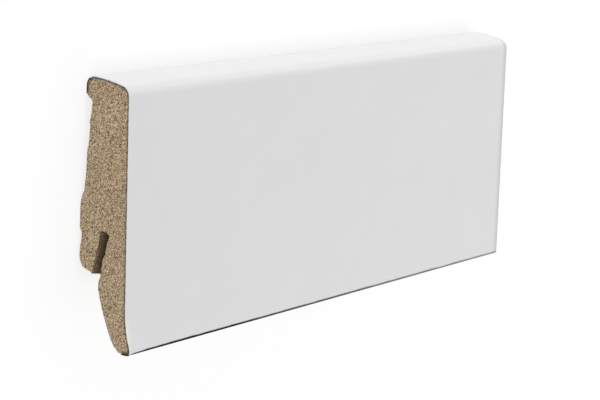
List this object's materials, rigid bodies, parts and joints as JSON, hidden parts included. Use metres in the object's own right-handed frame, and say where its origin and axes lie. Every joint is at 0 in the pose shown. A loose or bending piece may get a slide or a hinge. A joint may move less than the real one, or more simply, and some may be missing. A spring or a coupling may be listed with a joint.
{
  "type": "skirting board length",
  "caption": "Short length of foil-wrapped MDF skirting board with a sloping rounded top and a clip groove in its back.",
  "frame": {"origin": "middle of the outline, on the floor that the board lies on with its back", "axes": "+X along the moulding, +Y up the board from its toe to its top edge, +Z out of the white face"},
  "size_m": [0.206, 0.0792, 0.0222],
  "materials": {
    "mdf": "raw sawn fibreboard",
    "foil": "satin white decor foil"
  },
  "bodies": {
    "root": {"mdf_core": "mdf", "white_foil": "foil"}
  },
  "joints": []
}
